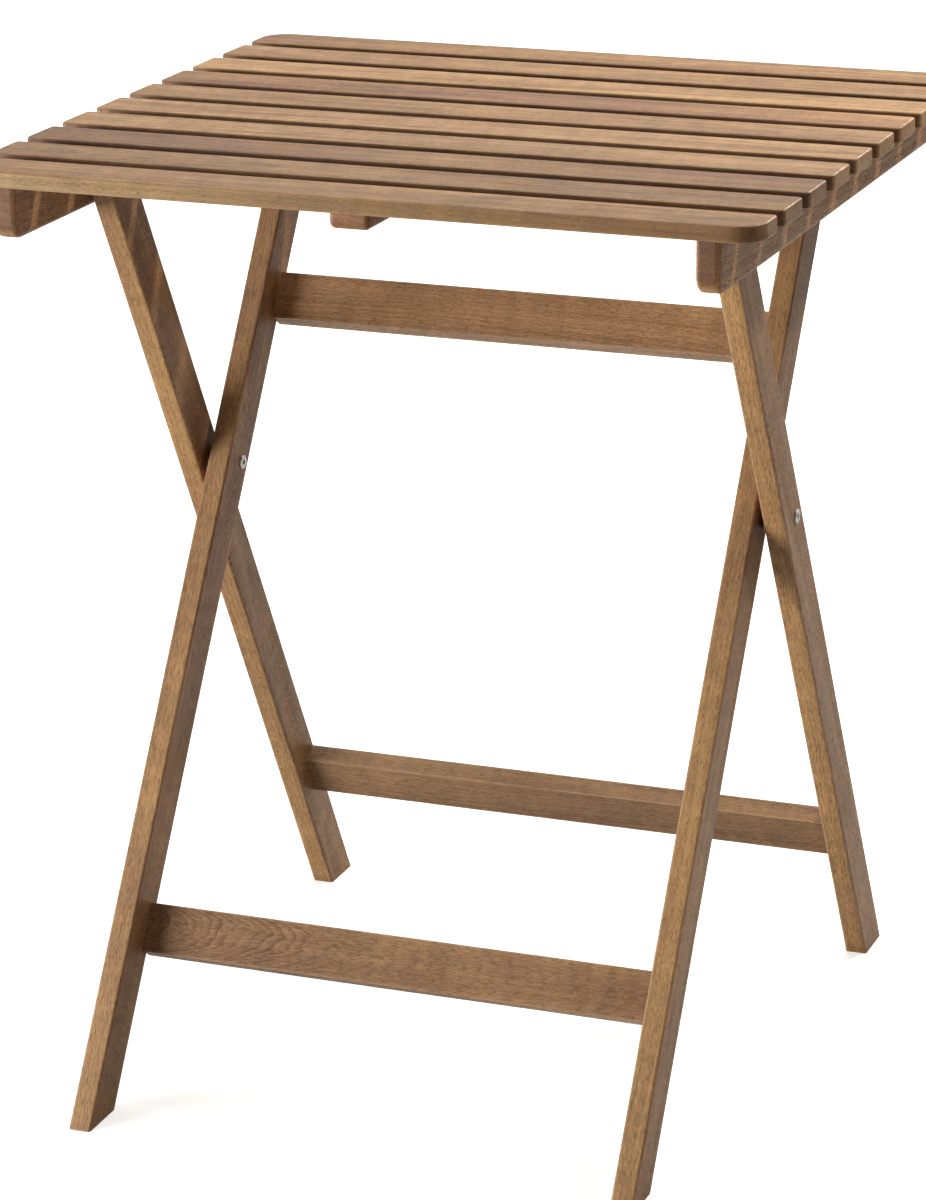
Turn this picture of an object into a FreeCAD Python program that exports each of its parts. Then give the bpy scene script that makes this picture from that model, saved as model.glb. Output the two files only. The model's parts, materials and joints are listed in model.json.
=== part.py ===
"""Folding garden table with a slatted top and two crossed leg frames.

Millimetres. +X runs along the slats to the right, +Y from the front edge to the back,
+Z up. The origin is on the ground, at the middle of the box that the open table fills.
Sizes are laid out first with Y = 0 at the middle of the top, and every finished piece
is shifted once, in save(), to the table's own origin.

Three bodies move: the outer frame, the inner frame and the top.
"""
import FreeCAD, Part
import math
import os

V = FreeCAD.Vector

# ---- Driving dimensions -------------------------------------------------------------

# Top
TOP_LENGTH = 600.0           # slat length, left to right
TOP_DEPTH = 580.0            # front edge to back edge
TABLE_HEIGHT = 722.0
SLAT_COUNT = 10
SLAT_GAP = 14.4
SLAT_THICKNESS = 12.0
SLAT_EASING = 1.8            # rounded edges along the upper face
SLAT_UNDER_EASING = 1.2
SLAT_CORNER = 4.0            # slat corners seen from above
TOP_CORNER = 22.0            # the four outer corners of the top

# Battens under the slats
BATTEN_THICKNESS = 18.0
BATTEN_DEPTH = 39.0
BATTEN_SETBACK = 5.0         # batten ends behind the top's front and back edges
BATTEN_END_INSET = 28.5      # outer face, in from the slats' ends
BATTEN_END_RADIUS = 13.0     # lower corners of the batten ends
BATTEN_EASING = 4.0          # rounded edges along the sides and ends
MIDDLE_BATTEN_WIDTH = 30.0
MIDDLE_BATTEN_THICKNESS = 14.0
MIDDLE_BATTEN_SETBACK = 12.0
MIDDLE_BATTEN_END_RADIUS = 5.0

# Legs
LEG_WIDTH = 38.0
LEG_THICKNESS = 17.5
OUTER_LEG_TILT = 30.0        # degrees from upright, top leaning to the front
INNER_LEG_TILT = 32.4        # degrees from upright, top leaning to the back
HINGE_SLAT = 3               # the slat over the top hinge, counted from the front
HINGE_AHEAD = 8.6            # top hinge, ahead of that slat's middle
OUTER_LEG_BELOW = 1.0        # the outer leg's round end, below the slats
REST_SLAT = 3                # the slat over the rest bar, counted from the back
REST_AHEAD = 6.6             # rest bar, ahead of that slat's middle
INNER_LEG_BELOW = 6.0        # the inner leg's round end, below the slats
PIVOT_BEHIND_OUTER = 5.0     # leg pivot, behind the outer leg's centre line
PIVOT_BEHIND_INNER = 7.2     # leg pivot, behind the inner leg's centre line
TOP_HINGE_SPACE = 7.5        # batten to outer leg
LEG_SPACE = 6.5              # outer leg to inner leg

# Rails between the legs
RAIL_WIDTH = 38.0
RAIL_THICKNESS = 17.0
REAR_RAIL_UP_LEG = 134.0     # rail centre, up the outer leg from the ground
FRONT_RAIL_UP_LEG = 151.0    # rail centre, up the inner leg from the ground
UPPER_RAIL_DOWN_LEG = 148.5  # rail centre, down the inner leg from the rest bar
OUTER_RAIL_BEHIND = 6.0      # rail centre, behind the outer leg's centre line
INNER_RAIL_INSIDE = 3.0      # rail centre, in from the inner leg's back edge
DOWEL_RADIUS = 3.5
DOWEL_SPACING = 20.0
DOWEL_IN_LEG = 12.0
DOWEL_IN_RAIL = 22.0

# Rest bar and the blocks that it seats in
REST_BAR_RADIUS = 9.0
REST_BAR_IN_LEG = 11.0
SEAT_CLEARANCE = 0.4
BLOCK_WIDTH = 26.0
BLOCK_FROM_LEG = 3.0
BLOCK_AHEAD = 21.0           # block ahead of the bar's centre
BLOCK_BEHIND = 27.0          # block behind the bar's centre
BLOCK_BELOW_BAR = 8.0        # rear wall, below the bar's centre
BLOCK_CHAMFER = 4.0
LIP_ABOVE_BAR = 6.0          # front lip ends this far above the bar's centre
MOUTH_ANGLE = 25.0           # degrees from upright, back side of the seat's mouth

# Metal parts
PIVOT_RADIUS = 4.0
PIVOT_HEAD_RADIUS = 5.5
PIVOT_HEAD_HEIGHT = 1.4
PIVOT_BOLT_RADIUS = 2.5
PIVOT_BOLT_REACH = 20.0      # bolt shank inside the sleeve
PIVOT_BOLT_ROOM = 2.0        # thread left in the sleeve beyond the bolt
HINGE_PIN_RADIUS = 4.0
HINGE_HEAD_RADIUS = 7.0
HINGE_HEAD_HEIGHT = 2.6
HINGE_THREAD_RADIUS = 3.0
HINGE_THREAD_REACH = 13.0    # thread inside the batten
DOME_SHARE = 0.6             # share of a domed head's height that is rounded
SPACER_RADIUS = 11.0
SPACER_EASING = 0.8
HEX_RECESS_RADIUS = 2.2
HEX_RECESS_DEPTH = 1.5
SCREW_RADIUS = 1.9
SCREW_HEAD_RADIUS = 3.9
SCREW_HEAD_HEIGHT = 2.6
SCREW_HEAD_RIM = 0.5         # straight rim above the countersink
SCREW_HEAD_ROOM = 0.3        # radial, screw head in its counterbore
SCREW_POINT = 4.0
SCREW_IN_SLAT = 8.0          # screw tip above the slat's underside
END_SCREW_SHIFT = 3.9        # first and last screws, from their slats' middles inward
BATTEN_COUNTERBORE = 14.0    # screw head above the side batten's lower edge
FLUSH_HEAD = 0.4             # screw head above a thin piece's lower face

# Clearances and eased edges
RUNNING_FIT = 0.08           # radial, a turning pin in its bore
FIXED_FIT = 0.02             # radial, a fixed pin in its bore
SIDE_PLAY = 0.25             # along a pivot, between faces that turn
EDGE_EASING = 2.0            # long edges of legs and rails
SMALL_EASING = 1.0

# ---- Values worked out from the driving dimensions ------------------------------------

SLAT_WIDTH = (TOP_DEPTH - (SLAT_COUNT - 1) * SLAT_GAP) / SLAT_COUNT
SLAT_PITCH = SLAT_WIDTH + SLAT_GAP
UNDERSIDE = TABLE_HEIGHT - SLAT_THICKNESS
BATTEN_OUT = TOP_LENGTH / 2 - BATTEN_END_INSET
BATTEN_IN = BATTEN_OUT - BATTEN_THICKNESS
OUTER_LEG_OUT = BATTEN_IN - TOP_HINGE_SPACE
OUTER_LEG_IN = OUTER_LEG_OUT - LEG_THICKNESS
INNER_LEG_OUT = OUTER_LEG_IN - LEG_SPACE
INNER_LEG_IN = INNER_LEG_OUT - LEG_THICKNESS
BLOCK_OUT = INNER_LEG_IN - BLOCK_FROM_LEG
HALF_LEG = LEG_WIDTH / 2
INNER_RAIL_BEHIND = HALF_LEG - INNER_RAIL_INSIDE


def slat_middle(index):
    """Y of the middle of a slat, counted from the front."""
    return -TOP_DEPTH / 2 + SLAT_WIDTH / 2 + index * SLAT_PITCH


def yz(y, z):
    """A point of the side view, as a vector in the plane X = 0."""
    return V(0, y, z)


class LegLine:
    """A leg's centre line in the side view, with the directions along and across it."""

    def __init__(self, top, lean):
        tilt = math.radians(lean)
        self.top = top
        self.up = yz(math.sin(tilt), math.cos(tilt))
        self.back = yz(math.cos(tilt), -math.sin(tilt))
        self.length = top.z / math.cos(tilt)
        self.foot = top - self.up * self.length

    def at(self, up_leg, behind=0.0):
        """A point this far up the leg from the ground, and behind its centre line."""
        return self.foot + self.up * up_leg + self.back * behind


def crossing(first, second):
    """Where two centre lines cross in the side view."""
    gap = second.foot - first.foot
    turn = first.up.y * second.up.z - first.up.z * second.up.y
    along = (gap.y * second.up.z - gap.z * second.up.y) / turn
    return first.foot + first.up * along


def behind_both(point, first, second, first_distance, second_distance):
    """The point at these distances behind two lines that cross at the given point."""
    a, b = first.back, second.back
    turn = a.y * b.z - a.z * b.y
    step_y = (first_distance * b.z - second_distance * a.z) / turn
    step_z = (second_distance * a.y - first_distance * b.y) / turn
    return point + yz(step_y, step_z)


OVER_REST = SLAT_COUNT - REST_SLAT
HINGE = yz(slat_middle(HINGE_SLAT - 1) - HINGE_AHEAD, UNDERSIDE - OUTER_LEG_BELOW - HALF_LEG)
REST = yz(slat_middle(OVER_REST) - REST_AHEAD, UNDERSIDE - INNER_LEG_BELOW - HALF_LEG)
OUTER = LegLine(HINGE, -OUTER_LEG_TILT)
INNER = LegLine(REST, INNER_LEG_TILT)
PIVOT = behind_both(crossing(OUTER, INNER), OUTER, INNER,
                    PIVOT_BEHIND_OUTER, PIVOT_BEHIND_INNER)

REAR_RAIL = OUTER.at(REAR_RAIL_UP_LEG, OUTER_RAIL_BEHIND)
FRONT_RAIL = INNER.at(FRONT_RAIL_UP_LEG, INNER_RAIL_BEHIND)
UPPER_RAIL = INNER.at(INNER.length - UPPER_RAIL_DOWN_LEG, INNER_RAIL_BEHIND)

FRONT_TIP = INNER.foot.y - HALF_LEG / INNER.up.z
REAR_TIP = OUTER.foot.y + HALF_LEG / OUTER.up.z
BASE_FRONT = min(-TOP_DEPTH / 2, FRONT_TIP)
BASE_BACK = max(TOP_DEPTH / 2, REAR_TIP)
TO_ORIGIN = V(0, -(BASE_FRONT + BASE_BACK) / 2, 0)

# ---- Shape helpers ------------------------------------------------------------------


def polygon_face(points):
    return Part.Face(Part.makePolygon(points + [points[0]]))


def polygon(points, sweep):
    """A prism with the given corners, swept along a vector."""
    return polygon_face(points).extrude(sweep)


def outline(edges, sweep):
    """A prism whose outline is a list of lines and arcs."""
    return Part.Face(Part.Wire(edges)).extrude(sweep)


def line(a, b):
    return Part.LineSegment(a, b).toShape()


def arc(a, middle, b):
    return Part.Arc(a, middle, b).toShape()


def rod(radius, start, end):
    """A cylinder from one point to another."""
    return Part.makeCylinder(radius, (end - start).Length, start, end - start)


def across(point, x):
    """The side-view point, moved to this X."""
    return V(x, point.y, point.z)


def eased(shape, radius, wanted):
    """Rounds the edges that wanted(edge) picks."""
    return shape.makeFillet(radius, [e for e in shape.Edges if wanted(e)])


def runs_along_x(edge):
    ends = [v.Point for v in edge.Vertexes]
    return len(ends) == 2 and (ends[1] - ends[0]).cross(V(1, 0, 0)).Length < 1e-6


def flat_in(edge, axis, value):
    """True where the whole edge lies in the plane where that coordinate is the value."""
    box = edge.BoundBox
    low, high = getattr(box, axis + "Min"), getattr(box, axis + "Max")
    return abs(low - value) < 1e-4 and abs(high - value) < 1e-4


def mirrored(shape):
    """The same piece for the left side."""
    return shape.mirror(V(0, 0, 0), V(1, 0, 0))


def hex_recess(centre, outward):
    """A hexagonal key recess, cut into a screw head from its outer face."""
    side = V(0, 1, 0) if abs(outward.y) < 0.5 else V(1, 0, 0)
    third = outward.cross(side)
    corners = []
    for k in range(6):
        turn = math.radians(60 * k)
        step = side * math.cos(turn) + third * math.sin(turn)
        corners.append(centre + step * HEX_RECESS_RADIUS)
    return polygon(corners, outward * -HEX_RECESS_DEPTH)


def turned(profile, centre, direction):
    """A turned piece: (radius, distance) corners, spun about a line from the centre."""
    flat = [V(r, 0, d) for r, d in profile]
    solid = polygon_face(flat).revolve(V(0, 0, 0), V(0, 0, 1), 360)
    solid.Placement = FreeCAD.Placement(centre, FreeCAD.Rotation(V(0, 0, 1), direction))
    return solid


def domed_head(radius, height, face, outward):
    """A low domed screw head that stands on a face, with its key recess."""
    head = Part.makeCylinder(radius, height, face, outward)
    rim = [e for e in head.Edges if isinstance(e.Curve, Part.Circle)]
    outer = max(rim, key=lambda e: e.CenterOfMass.dot(outward))
    head = head.makeFillet(height * DOME_SHARE, [outer])
    return head.cut(hex_recess(face + outward * height, outward))


# ---- Top ----------------------------------------------------------------------------


def slat(index):
    """One slat. The first and last have the top's large outer corners."""
    middle = slat_middle(index)
    front, back = middle - SLAT_WIDTH / 2, middle + SLAT_WIDTH / 2
    front_corner = TOP_CORNER if index == 0 else SLAT_CORNER
    back_corner = TOP_CORNER if index == SLAT_COUNT - 1 else SLAT_CORNER
    half = TOP_LENGTH / 2
    diagonal = 1 - math.sqrt(0.5)
    corners = [
        (V(-half, front, UNDERSIDE), front_corner, V(1, 0, 0), V(0, 1, 0)),
        (V(half, front, UNDERSIDE), front_corner, V(0, 1, 0), V(-1, 0, 0)),
        (V(half, back, UNDERSIDE), back_corner, V(-1, 0, 0), V(0, -1, 0)),
        (V(-half, back, UNDERSIDE), back_corner, V(0, -1, 0), V(1, 0, 0)),
    ]
    edges = []
    starts = []
    for corner, radius, leaving, arriving in corners:
        start = corner + arriving * radius
        end = corner + leaving * radius
        edges.append(arc(start, corner + (leaving + arriving) * (radius * diagonal), end))
        starts.append((start, end))
    for k in range(4):
        edges.append(line(starts[k][1], starts[(k + 1) % 4][0]))
    solid = outline(Part.__sortEdges__(edges), V(0, 0, SLAT_THICKNESS))
    solid = eased(solid, SLAT_EASING, lambda e: flat_in(e, "Z", TABLE_HEIGHT))
    return eased(solid, SLAT_UNDER_EASING, lambda e: flat_in(e, "Z", UNDERSIDE))


def rounded_batten(depth, thickness, setback, radius, x_in):
    """A batten under the slats, with its two lower end corners rounded."""
    end = TOP_DEPTH / 2 - setback
    low = UNDERSIDE - depth
    inside = radius * (1 - math.sqrt(0.5))
    edges = [
        line(yz(-end, UNDERSIDE), yz(-end, low + radius)),
        arc(yz(-end, low + radius), yz(-end + inside, low + inside), yz(-end + radius, low)),
        line(yz(-end + radius, low), yz(end - radius, low)),
        arc(yz(end - radius, low), yz(end - inside, low + inside), yz(end, low + radius)),
        line(yz(end, low + radius), yz(end, UNDERSIDE)),
        line(yz(end, UNDERSIDE), yz(-end, UNDERSIDE)),
    ]
    solid = outline(edges, V(thickness, 0, 0))
    solid.translate(V(x_in, 0, 0))

    def lower_rim(edge):
        on_side = flat_in(edge, "X", x_in) or flat_in(edge, "X", x_in + thickness)
        return on_side and edge.CenterOfMass.z < UNDERSIDE - 1e-3

    return eased(solid, BATTEN_EASING, lower_rim)


def screw_profile(length, grow=0.0):
    """Half outline of a countersunk wood screw, head first, or of its hole."""
    head, shank = SCREW_HEAD_RADIUS + grow, SCREW_RADIUS + grow
    return [
        (0, -grow),
        (head, -grow),
        (head, SCREW_HEAD_RIM),
        (shank, SCREW_HEAD_HEIGHT),
        (shank, length - SCREW_POINT),
        (0, length + grow),
    ]


def upright_screw(x, y, head_z):
    """A screw from below into a slat: the screw, and the space that it needs."""
    length = UNDERSIDE + SCREW_IN_SLAT - head_z
    place = V(x, y, head_z)
    screw = turned(screw_profile(length), place, V(0, 0, 1))
    screw = screw.cut(hex_recess(place, V(0, 0, -1)))
    hole = turned(screw_profile(length, FIXED_FIT), place, V(0, 0, 1))
    return screw, hole


def counterbore(x, y, low_z, head_z):
    """The wider hole that takes the screw's head in from the lower face."""
    radius = SCREW_HEAD_RADIUS + SCREW_HEAD_ROOM
    return rod(radius, V(x, y, low_z - 1), V(x, y, head_z + FIXED_FIT))


def seat_block():
    """The right block: a seat for the rest bar, open to the front and below."""
    low = REST.z - BLOCK_BELOW_BAR
    lip_z = REST.z + LIP_ABOVE_BAR
    front, back = REST.y - BLOCK_AHEAD, REST.y + BLOCK_BEHIND
    radius = REST_BAR_RADIUS + SEAT_CLEARANCE
    turn = math.radians(MOUTH_ANGLE)
    seat_front = yz(REST.y - math.sqrt(radius ** 2 - LIP_ABOVE_BAR ** 2), lip_z)
    seat_top = yz(REST.y, REST.z + radius)
    seat_back = yz(REST.y + radius * math.cos(turn), REST.z - radius * math.sin(turn))
    mouth_back = yz(seat_back.y - (seat_back.z - low) * math.tan(turn), low)
    edges = [
        line(yz(front, UNDERSIDE), yz(front, lip_z)),
        line(yz(front, lip_z), seat_front),
        arc(seat_front, seat_top, seat_back),
        line(seat_back, mouth_back),
        line(mouth_back, yz(back - BLOCK_CHAMFER, low)),
        line(yz(back - BLOCK_CHAMFER, low), yz(back, low + BLOCK_CHAMFER)),
        line(yz(back, low + BLOCK_CHAMFER), yz(back, UNDERSIDE)),
        line(yz(back, UNDERSIDE), yz(front, UNDERSIDE)),
    ]
    block = outline(edges, V(BLOCK_WIDTH, 0, 0))
    block.translate(V(BLOCK_OUT - BLOCK_WIDTH, 0, 0))
    return block


def block_screw_places():
    """The heads of a block's two screws, side by side in the wall behind the seat."""
    seat = REST_BAR_RADIUS + SEAT_CLEARANCE
    x = BLOCK_OUT - BLOCK_WIDTH / 2
    y = REST.y + (BLOCK_BEHIND + seat - BLOCK_CHAMFER) / 2
    z = REST.z - BLOCK_BELOW_BAR / 2
    return [V(x + side * BLOCK_WIDTH / 4, y, z) for side in (-1, 1)]


def make_top():
    slats = [slat(k) for k in range(SLAT_COUNT)]
    low = UNDERSIDE - BATTEN_DEPTH
    right = rounded_batten(BATTEN_DEPTH, BATTEN_THICKNESS, BATTEN_SETBACK,
                           BATTEN_END_RADIUS, BATTEN_IN)
    middle = rounded_batten(MIDDLE_BATTEN_THICKNESS, MIDDLE_BATTEN_WIDTH,
                            MIDDLE_BATTEN_SETBACK, MIDDLE_BATTEN_END_RADIUS,
                            -MIDDLE_BATTEN_WIDTH / 2)
    batten_x = (BATTEN_IN + BATTEN_OUT) / 2
    side_screws, middle_screws = [], []
    for k in range(SLAT_COUNT):
        y = slat_middle(k)
        if k == 0:
            y += END_SCREW_SHIFT
        if k == SLAT_COUNT - 1:
            y -= END_SCREW_SHIFT
        head_z = low + BATTEN_COUNTERBORE
        screw, hole = upright_screw(batten_x, y, head_z)
        side_screws.append(screw)
        right = right.cut(hole).cut(counterbore(batten_x, y, low, head_z))
        slats[k] = slats[k].cut(hole).cut(mirrored(hole))
        head_z = UNDERSIDE - MIDDLE_BATTEN_THICKNESS + FLUSH_HEAD
        screw, hole = upright_screw(0, y, head_z)
        middle_screws.append(screw)
        middle = middle.cut(hole)
        middle = middle.cut(counterbore(0, y, UNDERSIDE - MIDDLE_BATTEN_THICKNESS, head_z))
        slats[k] = slats[k].cut(hole)

    pin, pin_hole = hinge_pin()
    right = right.cut(pin_hole)
    block, block_screws = fitted_block(slats)

    for k, shape in enumerate(slats):
        save("slat_%02d" % (k + 1), shape)
    save_pair("side_batten", right)
    save("middle_batten", middle)
    save("right_batten_screws", group(side_screws))
    save("left_batten_screws", group([mirrored(s) for s in side_screws]))
    save("middle_batten_screws", group(middle_screws))
    save_pair("rest_block", block)
    save("rest_block_screws", group(block_screws + [mirrored(s) for s in block_screws]))
    save_pair("top_hinge_screw", pin)
    save_pair("top_hinge_spacer", hinge_spacer())


def fitted_block(slats):
    """The right block with its screws, and the screw holes cut into the slat above."""
    block = seat_block()
    screws = []
    for place in block_screw_places():
        screw, hole = upright_screw(place.x, place.y, place.z)
        screws.append(screw)
        block = block.cut(hole)
        block = block.cut(counterbore(place.x, place.y, REST.z - BLOCK_BELOW_BAR, place.z))
        slats[OVER_REST] = slats[OVER_REST].cut(hole).cut(mirrored(hole))
    return block, screws


def hinge_pin():
    """The right shoulder screw that the top turns on, and its hole in the batten."""
    outward = V(-1, 0, 0)
    face = across(HINGE, OUTER_LEG_IN - SIDE_PLAY)
    head = domed_head(HINGE_HEAD_RADIUS, HINGE_HEAD_HEIGHT, face, outward)
    shoulder = rod(HINGE_PIN_RADIUS, face, across(HINGE, BATTEN_IN))
    tip = across(HINGE, BATTEN_IN + HINGE_THREAD_REACH)
    thread = rod(HINGE_THREAD_RADIUS, across(HINGE, BATTEN_IN), tip)
    hole = rod(HINGE_THREAD_RADIUS + FIXED_FIT, across(HINGE, BATTEN_IN - 1),
               tip + V(FIXED_FIT, 0, 0))
    return head.fuse(shoulder).fuse(thread).removeSplitter(), hole


def ring(centre, x_from, x_to, radius, bore):
    outer = rod(radius, across(centre, x_from), across(centre, x_to))
    inner = rod(bore, across(centre, x_from - 1), across(centre, x_to + 1))
    solid = outer.cut(inner)
    return eased(solid, SPACER_EASING,
                 lambda e: e.Closed and abs(e.Curve.Radius - radius) < 1e-6)


def hinge_spacer():
    """The spacer between the outer leg and the batten, on the shoulder screw."""
    return ring(HINGE, OUTER_LEG_OUT + SIDE_PLAY, BATTEN_IN, SPACER_RADIUS,
                HINGE_PIN_RADIUS + FIXED_FIT)


# ---- Leg frames ---------------------------------------------------------------------


def leg(centre_line, x_in):
    """A leg on the right side: round at its top end, cut level at the ground."""
    back = centre_line.back * HALF_LEG
    up = centre_line.up
    top_back, top_front = centre_line.top + back, centre_line.top - back
    foot_back = top_back - up * (top_back.z / up.z)
    foot_front = top_front - up * (top_front.z / up.z)
    edges = [
        line(foot_back, top_back),
        arc(top_back, centre_line.top + up * HALF_LEG, top_front),
        line(top_front, foot_front),
        line(foot_front, foot_back),
    ]
    solid = outline(edges, V(LEG_THICKNESS, 0, 0))
    solid.translate(V(x_in, 0, 0))

    def rim(edge):
        on_side = flat_in(edge, "X", x_in) or flat_in(edge, "X", x_in + LEG_THICKNESS)
        return on_side and edge.CenterOfMass.z > 1e-3

    return eased(solid, EDGE_EASING, rim)


def rail(centre_line, middle, half_length):
    """A rail from leg to leg, with its wide face square to the legs' edges."""
    along = centre_line.up * (RAIL_WIDTH / 2)
    across_rail = centre_line.back * (RAIL_THICKNESS / 2)
    corners = [
        middle + along + across_rail,
        middle - along + across_rail,
        middle - along - across_rail,
        middle + along - across_rail,
    ]
    solid = polygon([across(p, -half_length) for p in corners], V(2 * half_length, 0, 0))
    return eased(solid, EDGE_EASING, runs_along_x)


def dowels(centre_line, middle, behind, leg_in):
    """A rail's right-hand pair of dowels, and their holes in the leg and the rail."""
    rail_front = behind - RAIL_THICKNESS / 2
    rail_back = behind + RAIL_THICKNESS / 2
    shared = (max(rail_front, -HALF_LEG) + min(rail_back, HALF_LEG)) / 2
    centre = middle + centre_line.back * (shared - behind)
    pins, holes = [], []
    for side in (-1, 1):
        place = centre + centre_line.up * (side * DOWEL_SPACING / 2)
        start = across(place, leg_in - DOWEL_IN_RAIL)
        end = across(place, leg_in + DOWEL_IN_LEG)
        pin = rod(DOWEL_RADIUS, start, end)
        pins.append(eased(pin, SMALL_EASING / 2, lambda e: e.Closed))
        room = V(FIXED_FIT, 0, 0)
        holes.append(rod(DOWEL_RADIUS + FIXED_FIT, start - room, end + room))
    return pins, holes


def joined(a_leg, centre_line, middle, behind, leg_in, name):
    """A rail fitted to a pair of legs: the drilled leg, and the rail and dowels saved."""
    a_rail = rail(centre_line, middle, leg_in)
    pins, holes = dowels(centre_line, middle, behind, leg_in)
    for hole in holes:
        a_leg = a_leg.cut(hole)
        a_rail = a_rail.cut(hole).cut(mirrored(hole))
    save(name, a_rail)
    save(name + "_dowels", group(pins + [mirrored(p) for p in pins]))
    return a_leg


def make_outer_frame():
    a_leg = leg(OUTER, OUTER_LEG_IN)
    bore = HINGE_PIN_RADIUS + RUNNING_FIT
    a_leg = a_leg.cut(rod(bore, across(HINGE, OUTER_LEG_IN - 1),
                          across(HINGE, OUTER_LEG_OUT + 1)))
    bore = PIVOT_RADIUS + RUNNING_FIT
    a_leg = a_leg.cut(rod(bore, across(PIVOT, OUTER_LEG_IN - 1),
                          across(PIVOT, OUTER_LEG_OUT + 1)))
    a_leg = joined(a_leg, OUTER, REAR_RAIL, OUTER_RAIL_BEHIND, OUTER_LEG_IN, "rear_rail")
    save_pair("outer_leg", a_leg)
    save_pair("leg_pivot_spacer", ring(PIVOT, INNER_LEG_OUT + SIDE_PLAY, OUTER_LEG_IN,
                                       SPACER_RADIUS, PIVOT_RADIUS + RUNNING_FIT))


def rest_bar():
    reach = INNER_LEG_IN + REST_BAR_IN_LEG
    bar = rod(REST_BAR_RADIUS, across(REST, -reach), across(REST, reach))
    return eased(bar, SMALL_EASING, lambda e: e.Closed)


def make_inner_frame():
    a_leg = leg(INNER, INNER_LEG_IN)
    bore = PIVOT_RADIUS + FIXED_FIT
    a_leg = a_leg.cut(rod(bore, across(PIVOT, INNER_LEG_IN - 1),
                          across(PIVOT, INNER_LEG_OUT + 1)))
    socket_end = INNER_LEG_IN + REST_BAR_IN_LEG + FIXED_FIT
    a_leg = a_leg.cut(rod(REST_BAR_RADIUS + FIXED_FIT, across(REST, INNER_LEG_IN - 1),
                          across(REST, socket_end)))
    for name, middle in (("upper_rail", UPPER_RAIL), ("front_rail", FRONT_RAIL)):
        a_leg = joined(a_leg, INNER, middle, INNER_RAIL_BEHIND, INNER_LEG_IN, name)
    save_pair("inner_leg", a_leg)
    save("rest_bar", rest_bar())
    save_pair("leg_pivot_sleeve", pivot_sleeve())
    save_pair("leg_pivot_bolt", pivot_bolt())


def pivot_sleeve():
    """The right sleeve nut: its head on the inner leg, its barrel through both legs."""
    face = across(PIVOT, INNER_LEG_IN)
    end = across(PIVOT, OUTER_LEG_OUT - SIDE_PLAY)
    head = domed_head(PIVOT_HEAD_RADIUS, PIVOT_HEAD_HEIGHT, face, V(-1, 0, 0))
    barrel = rod(PIVOT_RADIUS, face, end)
    thread = rod(PIVOT_BOLT_RADIUS + FIXED_FIT,
                 end - V(PIVOT_BOLT_REACH + PIVOT_BOLT_ROOM, 0, 0), end + V(1, 0, 0))
    return head.fuse(barrel).removeSplitter().cut(thread)


def pivot_bolt():
    """The right bolt: its head on the outer leg, its shank in the sleeve."""
    face = across(PIVOT, OUTER_LEG_OUT + SIDE_PLAY)
    head = domed_head(PIVOT_HEAD_RADIUS, PIVOT_HEAD_HEIGHT, face, V(1, 0, 0))
    start = across(PIVOT, OUTER_LEG_OUT - SIDE_PLAY - PIVOT_BOLT_REACH)
    shank = rod(PIVOT_BOLT_RADIUS, start, face)
    return head.fuse(shank).removeSplitter()


# ---- Saving -------------------------------------------------------------------------


def group(solids):
    return Part.makeCompound(solids)


def save(name, shape):
    """Writes one named piece, shifted to the table's own origin."""
    placed = shape.translated(TO_ORIGIN)
    if not placed.isValid():
        raise ValueError("bad shape: " + name)
    placed.exportStep("parts/%s.step" % name)
    box = placed.BoundBox
    print("%-22s %2d solid(s)  %9.0f mm3  z %6.1f to %6.1f" % (
        name, len(placed.Solids), placed.Volume, box.ZMin, box.ZMax))


def save_pair(name, right):
    save("right_" + name, right)
    save("left_" + name, mirrored(right))


def report():
    """Prints the places that the joints and mounts need, in the table's own frame."""
    for name, point in (("top hinge", HINGE), ("leg pivot", PIVOT), ("rest bar", REST)):
        place = point + TO_ORIGIN
        print("%-12s y %8.3f  z %8.3f" % (name, place.y, place.z))
    print("slat width %.2f, footprint %.1f deep" % (SLAT_WIDTH, BASE_BACK - BASE_FRONT))
    for name, leg_line in (("outer foot", OUTER), ("inner foot", INNER)):
        print("%-12s y %8.3f" % (name, (leg_line.foot + TO_ORIGIN).y))


os.makedirs("parts", exist_ok=True)
make_top()
make_outer_frame()
make_inner_frame()
report()
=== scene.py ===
# %% [markdown]
# # A folding garden table in stained acacia
# The table has ten slats on three battens, and two crossed leg frames that fold.
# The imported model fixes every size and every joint, so nothing here is placed by eye.
# Each wooden piece is made again as a finer mesh in its own board coordinates, with X
# along the grain. Then one solid wood finish fits them all: the grain runs through
# the piece, and faces, edges and ends agree, as they do in a sawn board.

# %% Load the frame
import json
import math
import random

import bmesh
import bpy
from mathutils import Matrix, Vector
from mathutils import noise as pattern


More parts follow.
